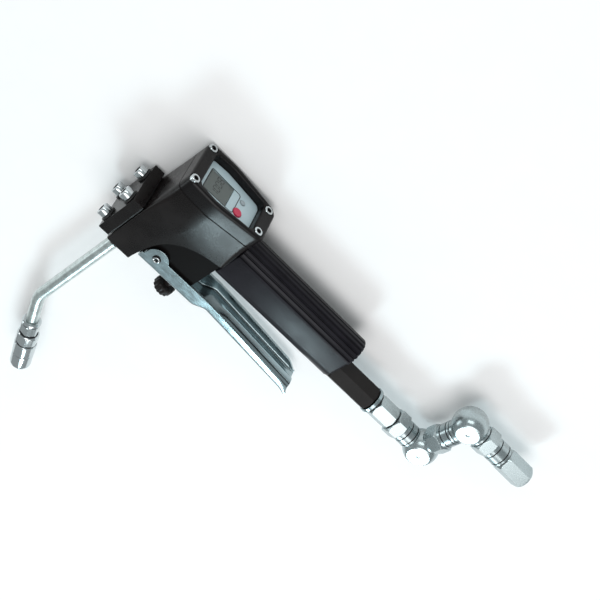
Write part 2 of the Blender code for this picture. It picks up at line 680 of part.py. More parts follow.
# ---------------------------------------------------------------- lever
def lever_web(x):
    """Outer face of the lever's web, as Y at X."""
    if x < 68.0:
        return 20.6
    if x < 80.0:
        share = (x - 68.0) / 12.0
        return 20.6 + 5.5 * share * share * (3 - 2 * share)
    return 26.1 - 0.086 * (x - 80.0)


def lever_wall(x):
    """Free edge of the lever's side walls, as Y at X."""
    across = EAR_RADIUS ** 2 - (x - PIVOT_X) ** 2
    ear = PIVOT_Y + math.sqrt(across) if across > 0 else 0.0
    if x < 15.6:
        return 28.0
    if x < PIVOT_X:
        return max(28.0, ear)
    if x < 80.0:
        return max(35.3, ear)
    if x < 158.0:
        return 35.0 - 8.0 * ((x - 80.0) / 78.0) ** 1.2
    return 27.0 - 7.0 * ((x - 158.0) / 14.0) ** 1.6


def lever_section(x):
    """U-shaped strip of sheet: outer side one way, inner side back."""
    web = lever_web(x)
    edge = max(lever_wall(x), web + SHEET + 0.9)
    half = LEVER_HALF
    radius = min(3.4, (edge - web) * 0.7)
    ramp = min(1.0, max(0.0, (x - 86.0) / 14.0))
    bead = 2.0 * ramp
    outer = [(edge, half)]
    for step in range(4):
        angle = math.pi / 2 * step / 3
        outer.append((web + radius - radius * math.sin(angle),
                      half - radius + radius * math.cos(angle)))
    outer += [(web, 6.0), (web + bead, 4.0)]
    outer += [(y, -z) for y, z in reversed(outer)]
    inner = [(edge, half - SHEET)]
    small = max(0.4, radius - SHEET)
    for step in range(4):
        angle = math.pi / 2 * step / 3
        inner.append((web + SHEET + small - small * math.sin(angle),
                      half - SHEET - small + small * math.cos(angle)))
    inner += [(web + SHEET, 6.0 - 0.6), (web + SHEET + bead, 4.0 - 0.6)]
    inner += [(y, -z) for y, z in reversed(inner)]
    return outer + inner[::-1]


def trigger_lever():
    stations = [15.4, 17.2, 18.6, 20.4, 23.0, 26.0, 29.0, 31.4, 33.6, 35.0, 50.0, 68.0, 71.0,
                74.0, 77.0, 80.0, 86.0, 100.0, 120.0, 140.0, 158.0, 163.0, 168.0, LEVER_END_X]
    sections = []
    for x in stations:
        sections.append((x - PIVOT_X, [(y - PIVOT_Y, z) for y, z in lever_section(x)]))
    at = (PIVOT_X, PIVOT_Y, 0)
    lever = place("trigger_lever", loft(sections, "X"), "zinc", at)
    cut(lever, cutter("cut_ears", rod(3.3, -20, 20, "Z", 24, 0.1), at),
        cutter("cut_thumbscrew", rod(2.8, 15, 28, "Y", 20), (PUSH_X, 0, 0)))
    pin = [(-14.6, 0), (-14.6, 2.6), (-14.2, 3.0), (13.6, 3.0), (14.4, 2.6), (14.4, 1.5),
           (12.8, 1.5), (12.8, 0)]
    place("pivot_screw", turned(pin, "Z", 24), "nickel", at)
    place("pivot_clip", tube(4.9, 3.1, -14.1, -13.3, "Z", 20), "steel", at)
    knob = [(2.0, 0), (2.0, 7.6), (2.8, 8.3), (9.6, 8.3), (10.4, 7.6), (10.4, 4.0), (15.6, 4.0),
            (15.6, 2.5), (28.2, 2.5), (29.1, 1.2), (29.1, 0)]
    place("thumbscrew", turned(knob, "Y", 24), "blackened_steel", (PUSH_X, 0, 0))
    nut = place("thumbscrew_locknut", hexagon(8.0, 16.0, 20.3, "Y", 0.6), "zinc", (PUSH_X, 0, 0))
    cut(nut, cutter("cut_locknut", rod(2.8, 14.0, 22.0, "Y"), (PUSH_X, 0, 0)))


def build():
    clear_scene()
    meter_housing()
    valve_body()
    chamber_cover()
    cover_bolts()
    oval_gears()
    valve_parts()
    outlet_tube()
    coupler()
    bezel()
    display()
    grip()
    hose_nut_bore(swivel())
    trigger_lever()


build()
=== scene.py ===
"""Looks of the metered grease gun, built around its CAD frame. Metres; tool lies on its side."""
import json
import math

import bmesh
import bpy
from mathutils import Matrix, Vector


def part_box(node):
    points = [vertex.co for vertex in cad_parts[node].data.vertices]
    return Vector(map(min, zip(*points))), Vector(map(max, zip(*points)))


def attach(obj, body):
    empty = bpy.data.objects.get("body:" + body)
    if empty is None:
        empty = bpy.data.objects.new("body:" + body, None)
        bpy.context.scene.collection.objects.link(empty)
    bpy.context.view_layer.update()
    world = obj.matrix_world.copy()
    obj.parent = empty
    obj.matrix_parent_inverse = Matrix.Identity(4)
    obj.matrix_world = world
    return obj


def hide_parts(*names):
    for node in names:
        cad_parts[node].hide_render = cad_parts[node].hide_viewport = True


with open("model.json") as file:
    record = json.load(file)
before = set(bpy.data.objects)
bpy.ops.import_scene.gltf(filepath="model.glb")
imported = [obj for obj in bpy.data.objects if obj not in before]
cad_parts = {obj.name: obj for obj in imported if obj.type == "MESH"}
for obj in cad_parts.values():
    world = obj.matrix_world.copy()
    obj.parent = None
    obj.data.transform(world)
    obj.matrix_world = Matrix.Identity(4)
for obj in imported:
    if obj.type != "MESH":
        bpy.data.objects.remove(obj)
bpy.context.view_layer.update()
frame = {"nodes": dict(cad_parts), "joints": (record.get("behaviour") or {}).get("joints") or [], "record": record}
NODES = frame["nodes"]
BODIES = frame["record"]["behaviour"]["bodies"]
SLOTS = {entry["node"]: entry["material_slot"] for entry in frame["record"]["subparts"]}
BODY_OF = {node: body for body, members in BODIES.items() for node in members}
MM = 0.001
WELD = 0.002 * MM

# Camera of the reference view: focal length on a 36 mm sensor, place and axes
LENS = 73.65
CAMERA_AT = Vector((-0.3277, 0.6593, 0.6572))
CAMERA_RIGHT = Vector((0.6795, 0.6790, -0.2779))
CAMERA_UP = Vector((-0.6577, 0.3959, -0.6409))
CAMERA_BACK = Vector((-0.3252, 0.6182, 0.7156))

# The lever's pivot screw ties the tool's own millimetres to the row frame
PIVOT = Vector(next(j["pos_m"] for j in frame["joints"] if j["name"] == "trigger_pivot"))
ORIGIN = PIVOT - Vector((26.0, 32.3, 0.0)) * MM


def tool(x, y, z):
    """Millimetres along the grip, towards the back and across, to the row frame."""
    return ORIGIN + Vector((x, y, z)) * MM


def middle(node):
    """Centre of a CAD node's box."""
    low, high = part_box(node)
    return (low + high) / 2


# ---------------------------------------------------------------- materials
def finish(name, colour, roughness, metallic=0.0, scale=900.0, vary=0.12, bump=0.15,
           depth=0.00004, spread=0.08, stretch=(1, 1, 1), coat=0.0, patch=60.0, specular=0.5):
    """Surface with fine grain, slow colour drift and uneven gloss."""
    material = bpy.data.materials.new(name)
    material.use_nodes = True
    nodes, links = material.node_tree.nodes, material.node_tree.links
    shader = nodes["Principled BSDF"]
    shader.inputs["Metallic"].default_value = metallic
    shader.inputs["Coat Weight"].default_value = coat
    shader.inputs["Coat Roughness"].default_value = 0.15
    shader.inputs["Specular IOR Level"].default_value = specular
    place = nodes.new("ShaderNodeTexCoord")
    mapping = nodes.new("ShaderNodeMapping")
    mapping.inputs["Scale"].default_value = stretch
    links.new(place.outputs["Object"], mapping.inputs["Vector"])
    grain = nodes.new("ShaderNodeTexNoise")
    grain.inputs["Scale"].default_value = scale
    grain.inputs["Detail"].default_value = 6.0
    links.new(mapping.outputs["Vector"], grain.inputs["Vector"])
    drift = nodes.new("ShaderNodeTexNoise")
    drift.inputs["Scale"].default_value = patch
    drift.inputs["Detail"].default_value = 3.0
    links.new(place.outputs["Object"], drift.inputs["Vector"])
    mixed = nodes.new("ShaderNodeMath")
    mixed.operation = "MULTIPLY_ADD"
    mixed.inputs[1].default_value = 0.5
    links.new(grain.outputs["Fac"], mixed.inputs[0])
    half = nodes.new("ShaderNodeMath")
    half.operation = "MULTIPLY"
    half.inputs[1].default_value = 0.5
    links.new(drift.outputs["Fac"], half.inputs[0])
    links.new(half.outputs["Value"], mixed.inputs[2])
    ramp = nodes.new("ShaderNodeValToRGB")
    dark = tuple(c * (1 - vary) for c in colour)
    light = tuple(min(1.0, c * (1 + vary)) for c in colour)
    ramp.color_ramp.elements[0].position = 0.35
    ramp.color_ramp.elements[0].color = (*dark, 1)
    ramp.color_ramp.elements[1].position = 0.65
    ramp.color_ramp.elements[1].color = (*light, 1)
    links.new(mixed.outputs["Value"], ramp.inputs["Fac"])
    links.new(ramp.outputs["Color"], shader.inputs["Base Color"])
    gloss = nodes.new("ShaderNodeMapRange")
    gloss.inputs["From Min"].default_value = 0.3
    gloss.inputs["From Max"].default_value = 0.7
    gloss.inputs["To Min"].default_value = max(0.03, roughness - spread)
    gloss.inputs["To Max"].default_value = roughness + spread
    links.new(mixed.outputs["Value"], gloss.inputs["Value"])
    links.new(gloss.outputs["Result"], shader.inputs["Roughness"])
    relief = nodes.new("ShaderNodeBump")
    relief.inputs["Strength"].default_value = bump
    relief.inputs["Distance"].default_value = depth
    links.new(grain.outputs["Fac"], relief.inputs["Height"])
    links.new(relief.outputs["Normal"], shader.inputs["Normal"])
    return material


LOOKS = {
    "black_casting": finish("black_casting", (0.0056, 0.0040, 0.0038), 0.29, scale=1500,
                            bump=0.34, depth=0.00005, specular=0.20, vary=0.45),
    # Darker, rougher copy of the black casting for the valve body under the arch: its darker colour is painted
    # shade of that recess
    "shaded_black_casting": finish("shaded_black_casting", (0.0036, 0.0027, 0.0026), 0.5, scale=1300, bump=0.45,
                         depth=0.00008, specular=0.06, vary=0.25),
    "black_plastic": finish("black_plastic", (0.0050, 0.0042, 0.0044), 0.28, scale=2600,
                            bump=0.22, specular=0.20, vary=0.25),
    "grip_plastic": finish("grip_plastic", (0.0120, 0.0110, 0.0145), 0.32, scale=2200,
                           bump=0.28, specular=0.15, vary=0.25),
    "zinc": finish("zinc", (0.36, 0.44, 0.46), 0.22, 1.0, scale=260, vary=0.10, bump=0.06,
                   stretch=(0.6, 1.6, 1.6), spread=0.08, patch=50),
    "tube_zinc": finish("tube_zinc", (0.58, 0.64, 0.625), 0.34, 1.0, scale=1100, vary=0.24,
                        bump=0.03, spread=0.06, patch=150),
    "nickel": finish("nickel", (0.56, 0.60, 0.61), 0.15, 1.0, scale=700, vary=0.04, bump=0.01,
                     spread=0.03),
    "satin_nickel": finish("satin_nickel", (0.42, 0.48, 0.49), 0.27, 1.0, scale=900, vary=0.10,
                           bump=0.01, spread=0.04),
    "steel": finish("steel", (0.60, 0.61, 0.62), 0.26, 1.0, scale=900, vary=0.08, bump=0.1),
    "blackened_steel": finish("blackened_steel", (0.0105, 0.0085, 0.0080), 0.36, 0.0,
                              scale=1300, bump=0.3, specular=0.16, vary=0.25),
    "faceplate": finish("faceplate", (0.50, 0.62, 0.66), 0.36, scale=3000, vary=0.03,
                        bump=0.06),
    "lcd_glass": finish("lcd_glass", (0.085, 0.105, 0.098), 0.14, scale=2500, vary=0.06,
                        bump=0.02, coat=0.4),
    "lcd_ink": finish("lcd_ink", (0.018, 0.022, 0.024), 0.25, scale=2500, vary=0.05, bump=0.02),
    "red": finish("red", (0.62, 0.028, 0.085), 0.35, scale=2500, vary=0.05, bump=0.06),
    "grey": finish("grey", (0.36, 0.42, 0.45), 0.38, scale=2500, vary=0.05, bump=0.06),
    "circuit_green": finish("circuit_green", (0.02, 0.16, 0.07), 0.45),
    "battery": finish("battery", (0.05, 0.12, 0.30), 0.35),
    "rubber": finish("rubber", (0.008, 0.008, 0.008), 0.55, scale=1800, bump=0.25),
    "brass": finish("brass", (0.62, 0.42, 0.16), 0.24, 1.0),
    "socket_shadow": finish("socket_shadow", (0.008, 0.008, 0.009), 0.5, scale=2000),
}


# ---------------------------------------------------------------- mesh helpers
def piece(name, bm, slot, body, *replaced, angle=35.0, look=None):
    """A visual piece on a body, in place of the CAD nodes it replaces."""
    bmesh.ops.recalc_face_normals(bm, faces=bm.faces)
    mesh = bpy.data.meshes.new(name)
    bm.to_mesh(mesh)
    bm.free()
    mesh.shade_smooth()
    mesh.set_sharp_from_angle(angle=math.radians(angle))
    obj = bpy.data.objects.new(name, mesh)
    bpy.context.scene.collection.objects.link(obj)
    mesh.materials.append(LOOKS[look or slot])
    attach(obj, body)
    if replaced:
        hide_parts(*replaced)
    return obj


def soften(obj, width, segments=2, angle=32.0):
    """Rounded edges that catch the light."""
    bevel = obj.modifiers.new("edges", "BEVEL")
    bevel.width = width
    bevel.segments = segments
    bevel.limit_method = "ANGLE"
    bevel.angle_limit = math.radians(angle)
    bevel.harden_normals = True
    bevel.use_clamp_overlap = True
    return obj


def refined(node, width, look=None):
    """The CAD solid's shape with clean faces and rounded edges."""
    bm = bmesh.new()
    bm.from_mesh(NODES[node].data)
    bmesh.ops.remove_doubles(bm, verts=bm.verts, dist=WELD)
    bmesh.ops.dissolve_limit(bm, angle_limit=math.radians(0.5), verts=bm.verts,
                             edges=bm.edges)
    obj = piece(node + "_finished", bm, SLOTS[node], BODY_OF[node], node, look=look)
    return soften(obj, width)


def turned(profile, sides=48, axis="X", scallop=None):
    """Closed ring or solid of revolution from (along, radius) in millimetres."""
    bm = bmesh.new()
    rings = []
    for along, radius in profile:
        count = 1 if radius == 0 else sides
        ring = []
        for k in range(count):
            spin = 2 * math.pi * k / sides
            reach = radius * (scallop(along, radius, spin) if scallop and radius else 1.0)
            a, b = reach * math.cos(spin) * MM, reach * math.sin(spin) * MM
            point = {"X": (along * MM, a, b), "Y": (a, along * MM, b), "Z": (a, b, along * MM)}
            ring.append(bm.verts.new(point[axis]))
        rings.append(ring)
    pairs = list(zip(rings, rings[1:]))
    if len(rings[0]) > 1:
        pairs.append((rings[-1], rings[0]))
    for first, second in pairs:
        for i in range(sides):
            j = (i + 1) % sides
            corners = [first[i % len(first)], first[j % len(first)],
                       second[j % len(second)], second[i % len(second)]]
            bm.faces.new(list(dict.fromkeys(corners)))
    return bm


def skin(bm, rings, capped=True):
    """Faces between closed rings of the same number of points."""
    count = len(rings[0])
    for first, second in zip(rings, rings[1:]):
        for i in range(count):
            j = (i + 1) % count
            bm.faces.new((first[i], first[j], second[j], second[i]))
    if capped:
        bm.faces.new(rings[0])
        bm.faces.new(rings[-1])


def moved(bm, at):
    bmesh.ops.translate(bm, vec=at, verts=bm.verts)
    return bm


def add_to(bm, extra):
    """Joins a second mesh to the first, without merging anything."""
    mesh = bpy.data.meshes.new("extra")
    extra.to_mesh(mesh)
    extra.free()
    bm.from_mesh(mesh)
    bpy.data.meshes.remove(mesh)


# ---------------------------------------------------------------- frame pieces
# Rounding of each CAD solid that is used as it is, in millimetres
EDGES = {
    "valve_body": 0.7, "chamber_cover": 0.5,
    "faceplate": 0.25, "lcd_panel": 0.2, "red_button": 0.3, "grey_button": 0.25,
    "inlet_collar": 0.4, "inlet_gasket": 0.25, "pivot_screw": 0.2,
    "thumbscrew_locknut": 0.3,
    "cover_washer_1": 0.2, "cover_washer_2": 0.2, "cover_washer_3": 0.2, "cover_washer_4": 0.2,
}
# Valve body: painted shade of the recess under the arch. Pivot screw: painted socket shade all over, under a
# separate bright rim
OTHER_LOOK = {"valve_body": "shaded_black_casting", "pivot_screw": "socket_shadow"}


def frame_pieces():
    """Rounds the plain solids, and dresses every CAD node still in view."""
    for node, width in EDGES.items():
        refined(node, width * MM, OTHER_LOOK.get(node))
    for node, obj in NODES.items():
        if obj.hide_render:
            continue
        obj.data.materials.clear()
        obj.data.materials.append(LOOKS[SLOTS[node]])


# ---------------------------------------------------------------- housing and bezel
TOP_X, FOOT_X = -10.8, 57.4
FRONT_Y, SEAM_Y, BEZEL_Y = 21.0, 103.6, 117.0
FLARE_Y = 60.0
BEZEL_ROUND, WINDOW_LIP = 3.2, 1.6
WELL_DEPTH, WELL_R, SCREW_HOLE_R = 1.8, 3.95, 2.3


def rounded(corners, steps):
    """Outline from (a, b, radius) corners, each turned into an arc."""
    points = []
    for index, (a, b, radius) in enumerate(corners):
        corner = Vector((a, b))
        before = Vector(corners[index - 1][:2]) - corner
        after = Vector(corners[(index + 1) % len(corners)][:2]) - corner
        u, v = before.normalized(), after.normalized()
        half = math.acos(max(-1.0, min(1.0, u.dot(v)))) / 2
        if half > math.radians(89.7):
            points += [tuple(corner + u * (1.0 - 2.0 * k / steps)) for k in range(steps + 1)]
            continue
        centre = corner + (u + v).normalized() * (radius / math.sin(half))
        start = corner + u * (radius / math.tan(half)) - centre
        sweep = start.angle_signed(corner + v * (radius / math.tan(half)) - centre)
        for k in range(steps + 1):
            points.append(tuple(centre + Matrix.Rotation(-sweep * k / steps, 2) @ start))
    return points


def shell_outline(front, inset=0.0):
    """Cross-section of the housing at share `front` (0 at the bezel, 1 at the front)."""
    waist = 23.6 + (21.0 - 23.6) * front - inset
    top = 22.3 + (21.0 - 22.3) * front - inset
    foot = 17.0 + (21.0 - 17.0) * front - inset
    crown = 6.5 - 5.0 * front
    half = [(TOP_X + inset, top, crown), (16.0, waist, 60.0),
            (FOOT_X - inset, foot, 7.0 - 5.0 * front)]
    return rounded(half + [(x, -z, r) for x, z, r in reversed(half)], 9)


def window_outline(inset=0.0):
    half = [(-1.8 + inset, 17.6 - inset, 4.0), (14.0, 19.0 - inset, 15.0),
            (46.5 - inset, 15.2 - inset, 5.0)]
    return rounded(half + [(x, -z, r) for x, z, r in reversed(half)], 8)


def loft(sections):
    """Closed skin over [(y, outline of (x, z)), ...] in tool millimetres."""
    bm = bmesh.new()
    skin(bm, [[bm.verts.new(tool(x, y, z)) for x, z in outline] for y, outline in sections])
    bmesh.ops.recalc_face_normals(bm, faces=bm.faces)
    return bm


def side_prism(outline, low, high):
    """Prism across the tool over an (x, y) outline."""
    bm = bmesh.new()
    skin(bm, [[bm.verts.new(tool(x, y, z)) for x, y in outline] for z in (low, high)])
    bmesh.ops.recalc_face_normals(bm, faces=bm.faces)
    return bm


def temporary(bm):
    bmesh.ops.recalc_face_normals(bm, faces=bm.faces)
    mesh = bpy.data.meshes.new("temporary")
    bm.to_mesh(mesh)
    bm.free()
    obj = bpy.data.objects.new("temporary", mesh)
    bpy.context.scene.collection.objects.link(obj)
    return obj


def carved(bm, *cutters):
    """The solid with each cutter taken out, as a new bmesh."""
    base = temporary(bm)
    tools = [temporary(cutter) for cutter in cutters]
    for tool_piece in tools:
        modifier = base.modifiers.new("cut", "BOOLEAN")
        modifier.operation = "DIFFERENCE"
        modifier.solver = "EXACT"
        modifier.object = tool_piece
    graph = bpy.context.evaluated_depsgraph_get()
    result = bmesh.new()
    result.from_mesh(base.evaluated_get(graph).to_mesh())
    for obj in [base] + tools:
        bpy.data.objects.remove(obj, do_unlink=True)
    bmesh.ops.remove_doubles(result, verts=result.verts, dist=WELD)
    return result


def arch_curve():
    """Free edge of the housing's side walls, a smooth sweep from front to back."""
    knots = [(10.4, 18.0), (10.6, 27.0), (12.0, 37.5), (14.2, 48.0), (19.0, 58.4),
             (28.5, 67.6), (41.0, 73.0), (58.0, 75.8)]
    points = []
    for index in range(len(knots) - 1):
        before = Vector(knots[max(0, index - 1)])
        a, b = Vector(knots[index]), Vector(knots[index + 1])
        after = Vector(knots[min(len(knots) - 1, index + 2)])
        for k in range(6):
            t = k / 6
            points.append(tuple(0.5 * (2 * a + (b - before) * t
                                       + (2 * before - 5 * a + 4 * b - after) * t * t
                                       + (3 * a - before - 3 * b + after) * t ** 3)))
    return points + [knots[-1]]


def box_cutter(low, high):
    outline = [(low[0], low[1]), (high[0], low[1]), (high[0], high[1]), (low[0], high[1])]
    return side_prism(outline, low[2], high[2])


def housing():
    """Die-cast shell: slab sides at the front, flaring to the bezel behind the arch."""
    sections = [(FRONT_Y, shell_outline(1.0, 1.2)), (FRONT_Y + 0.35, shell_outline(1.0, 0.5)),
                (FRONT_Y + 1.2, shell_outline(1.0, 0.0)), (FLARE_Y, shell_outline(1.0))]
    steps = 22
    for k in range(1, steps):
        share = k / steps
        front = 1.0 - share * share * (3 - 2 * share)
        sections.append((FLARE_Y + (SEAM_Y - FLARE_Y - 0.4) * share, shell_outline(front)))
    sections += [(SEAM_Y - 0.4, shell_outline(0.0)), (SEAM_Y, shell_outline(0.0, 0.4))]
    shell = carved(
        loft(sections),
        side_prism(arch_curve() + [(75.0, 75.8), (75.0, 18.0)], -30, 30),
        box_cutter((TOP_X + 2.9, FRONT_Y + 3.0, -18.2), (70.0, 75.6, 18.2)),
        loft([(74.0, window_outline()), (SEAM_Y + 2, window_outline())]),
        box_cutter((TOP_X - 2, 27.9, -18.2), (0.0, 64.1, 18.2)),
        moved(turned([(FRONT_Y - 3, 0), (FRONT_Y - 3, 7.4), (FRONT_Y + 6, 7.4),
                      (FRONT_Y + 6, 0)], 40, "Y"), tool(0, 0, 0)))
    obj = piece("meter_housing_finished", shell, "black_casting", BODY_OF["meter_housing"],
                "meter_housing", angle=38)
    return soften(obj, 0.7 * MM, 3, 50)


def bezel():
    """Moulded frame with a full round edge, a deep window and four screw wells."""
    sections = [(SEAM_Y + 0.25, shell_outline(0.0, 0.35)), (SEAM_Y + 0.6, shell_outline(0.0))]
    for k in range(9):
        angle = math.pi / 2 * k / 8
        inset = 0.6 * BEZEL_ROUND * (1 - math.cos(angle))
        sections.append((BEZEL_Y - BEZEL_ROUND + BEZEL_ROUND * math.sin(angle),
                         shell_outline(0.0, inset)))
    window = [(SEAM_Y - 2, window_outline()), (BEZEL_Y - WINDOW_LIP, window_outline())]
    for k in range(1, 6):
        angle = math.pi / 2 * k / 5
        window.append((BEZEL_Y - WINDOW_LIP + WINDOW_LIP * math.sin(angle),
                       window_outline(-WINDOW_LIP * (1 - math.cos(angle)))))
    window.append((BEZEL_Y + 2, window_outline(-WINDOW_LIP)))
    profile = [(SEAM_Y - 2, 0), (SEAM_Y - 2, SCREW_HOLE_R),
               (BEZEL_Y - WELL_DEPTH, SCREW_HOLE_R), (BEZEL_Y - WELL_DEPTH, WELL_R),
               (BEZEL_Y + 2, WELL_R), (BEZEL_Y + 2, 0)]
    wells = []
    for index in range(1, 5):
        centre = middle("bezel_screw_%d" % index)
        wells.append(moved(turned(profile, 36, "Y"), Vector((centre.x, ORIGIN.y, centre.z))))
    obj = piece("bezel_finished", carved(loft(sections), loft(window), *wells),
                "black_plastic", BODY_OF["bezel"], "bezel", angle=38)
    return soften(obj, 0.2 * MM, 2, 55)


# ---------------------------------------------------------------- display
STROKE, DIGIT_TALL, DIGIT_WIDE = 0.55, 5.6, 3.0
DIGIT_PITCH = 4.6
# Seven segments as (share along, side across, lies across the digit)
SEGMENTS = ((-1, 0, True), (0, 0, True), (1, 0, True), (-0.5, -1, False), (-0.5, 1, False),
            (0.5, -1, False), (0.5, 1, False))


def plate_prism(outline, low, high):
    """Flat shape facing the back, between two heights."""
    return loft([(low, outline), (high, outline)])


def display_frame(start, end, half, inset, radius):
    """Rounded frame round the window and the buttons beside it."""
    return rounded([(start - 0.9 + inset[0], half + 1.0 - inset[1], radius),
                    (end + 6.9 - inset[0], half + 0.2 - inset[2], radius + 0.2),
                    (end + 6.9 - inset[0], -half - 0.2 + inset[2], radius + 0.2),
                    (start - 0.9 + inset[0], -half - 1.0 + inset[1], radius)], 6)


def segment_outline(centre_x, across, segment):
    along, side, lies_across = segment
    x = centre_x + along * DIGIT_TALL / 2
    z = across + side * DIGIT_WIDE / 2
    tall, wide = (STROKE, 2.4) if lies_across else (DIGIT_TALL / 2 - 0.8, STROKE)
    return [(x - tall / 2, z - wide / 2), (x + tall / 2, z - wide / 2),
            (x + tall / 2, z + wide / 2), (x - tall / 2, z + wide / 2)]


def lit(digit, segment):
    """A narrow one, two noughts and an eight: a readout that means nothing."""
    if digit == 0:
        return segment[1] == -1
    return digit == 3 or segment != (0, 0, True)


def display():
    """Outline round the window, and a generic readout."""
    low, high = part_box("lcd_panel")
    start, half = (low.x - ORIGIN.x) / MM, (ORIGIN.z - low.z) / MM
    end, top = (high.x - ORIGIN.x) / MM, (high.y - ORIGIN.y) / MM
    outer = display_frame(start, end, half, (0, 0, 0), 2.0)
    inner = display_frame(start, end, half, (0.6, 0.55, 0.5), 1.6)
    border = carved(plate_prism(outer, top + 0.25, top + 0.42),
                    plate_prism(inner, top - 1, top + 2))
    piece("display_outline", border, "rubber", BODY_OF["faceplate"], look="lcd_ink")
    bars = bmesh.new()
    for digit in range(4):
        across = half - 3.2 - digit * DIGIT_PITCH
        for segment in SEGMENTS:
            if lit(digit, segment):
                outline = segment_outline((start + end) / 2 - 1.0, across, segment)
                add_to(bars, plate_prism(outline, top - 0.02, top + 0.05))
    piece("display_digits", bars, "rubber", BODY_OF["lcd_panel"], look="lcd_ink")


# ---------------------------------------------------------------- hexagons and swivel
def hexagon_scallop(flats):
    """Share of a round profile that stays inside a hexagon bar."""
    def share(along, radius, spin):
        wedge = (spin % (math.pi / 3)) - math.pi / 6
        return min(1.0, flats / 2 / math.cos(wedge) / radius)

    return share


def bar_profile(flats, low, high, bore, chamfer=1.5):
    """Hexagon bar between low and high: round chamfers at both ends, and a bore."""
    corner = flats / math.sqrt(3)
    face = flats / 2 - chamfer * 0.25
    rise = [(chamfer * k / 6, face + (corner - face) * k / 6) for k in range(7)]
    return ([(low, bore)] + [(low + along, radius) for along, radius in rise]
            + [(high - along, radius) for along, radius in reversed(rise)] + [(high, bore)])


def bar_piece(node, flats, low, high, bore, axis, at, tail=(), chamfer=1.5, turn=0.1):
    """A hexagon bar, followed by an optional round tail, in place of a CAD node."""
    hexagonal = hexagon_scallop(flats)

    def share(along, radius, spin):
        if radius <= bore + 0.01 or (tail and along > high - 0.01):
            return 1.0
        return hexagonal(along, radius, spin + math.pi / 6)

    profile = bar_profile(flats, low, high, bore, chamfer)
    if tail:
        profile = profile[:-1] + list(tail)
    bm = turned(profile, 72, axis, share)
    bmesh.ops.rotate(bm, cent=(0, 0, 0), matrix=Matrix.Rotation(turn, 3, axis), verts=bm.verts)
    look = "satin_nickel" if SLOTS[node] == "nickel" else None
    piece(node + "_finished", moved(bm, at), SLOTS[node], BODY_OF[node], node, angle=11,
          look=look)


def shadow_profile(start, end, radius):
    return [(start, radius - 1.2), (start, radius), (end, radius), (end, radius - 1.2)]


def painted_shade_ring(name, node, axis, at, start, end, radius):
    """Painted shade: a dark ring in a groove or a running gap."""
    bm = turned(shadow_profile(start, end, radius), 48, axis)
    piece(name, moved(bm, at), "blackened_steel", BODY_OF[node], look="socket_shadow")


def ring_tail(start, end, radius, bore, grooves):
    """Round collar with rounded end and narrow grooves."""
    tail = [(start + 0.01, radius)]
    for place in grooves:
        tail += [(place - 0.5, radius), (place - 0.4, radius - 0.8), (place + 0.4, radius - 0.8),
                 (place + 0.5, radius)]
    return tail + [(end - 0.7, radius), (end - 0.2, radius - 0.25), (end, radius - 0.8),
                   (end, bore)]


SHOULDER_R, NECK_R, NECK_LENGTH = 9.5, 6.0, 10.0


def elbow(node, centre, arms):
    """Satin ball with two flat ends, and a shoulder on each (axis, sign, reach) arm."""
    flat, ball = 11.0, 14.5
    start = math.acos(flat / ball)
    rim = ball * math.sin(start)
    profile = [(-flat, 0), (-flat, rim - 0.5)]
    steps = 26
    for k in range(1, steps):
        angle = math.pi - start - (math.pi - 2 * start) * k / steps
        profile.append((ball * math.cos(angle), ball * math.sin(angle)))
    profile += [(flat, rim - 0.5), (flat, 1.6), (flat - 0.5, 1.1), (flat - 0.7, 0)]
    cutters = []
    for axis, sign, reach in arms:
        slab = [(sign * (reach - 0.35), 0), (sign * (reach - 0.35), 16), (sign * 18.0, 16),
                (sign * 18.0, 0)]
        cutters.append(turned(slab, 24, axis))
    bm = carved(turned(profile, 72, "Z"), *cutters)
    for axis, sign, reach in arms:
        shoulder = [(6.0, 0), (6.0, SHOULDER_R), (reach - 0.5, SHOULDER_R),
                    (reach, SHOULDER_R - 0.5), (reach, NECK_R), (reach + NECK_LENGTH, NECK_R),
                    (reach + NECK_LENGTH, 0)]
        shoulder = [(sign * along, radius) for along, radius in shoulder]
        add_to(bm, turned(shoulder, 60, axis))
    piece(node + "_finished", moved(bm, centre), "nickel", BODY_OF[node], node, angle=14,
          look="satin_nickel")


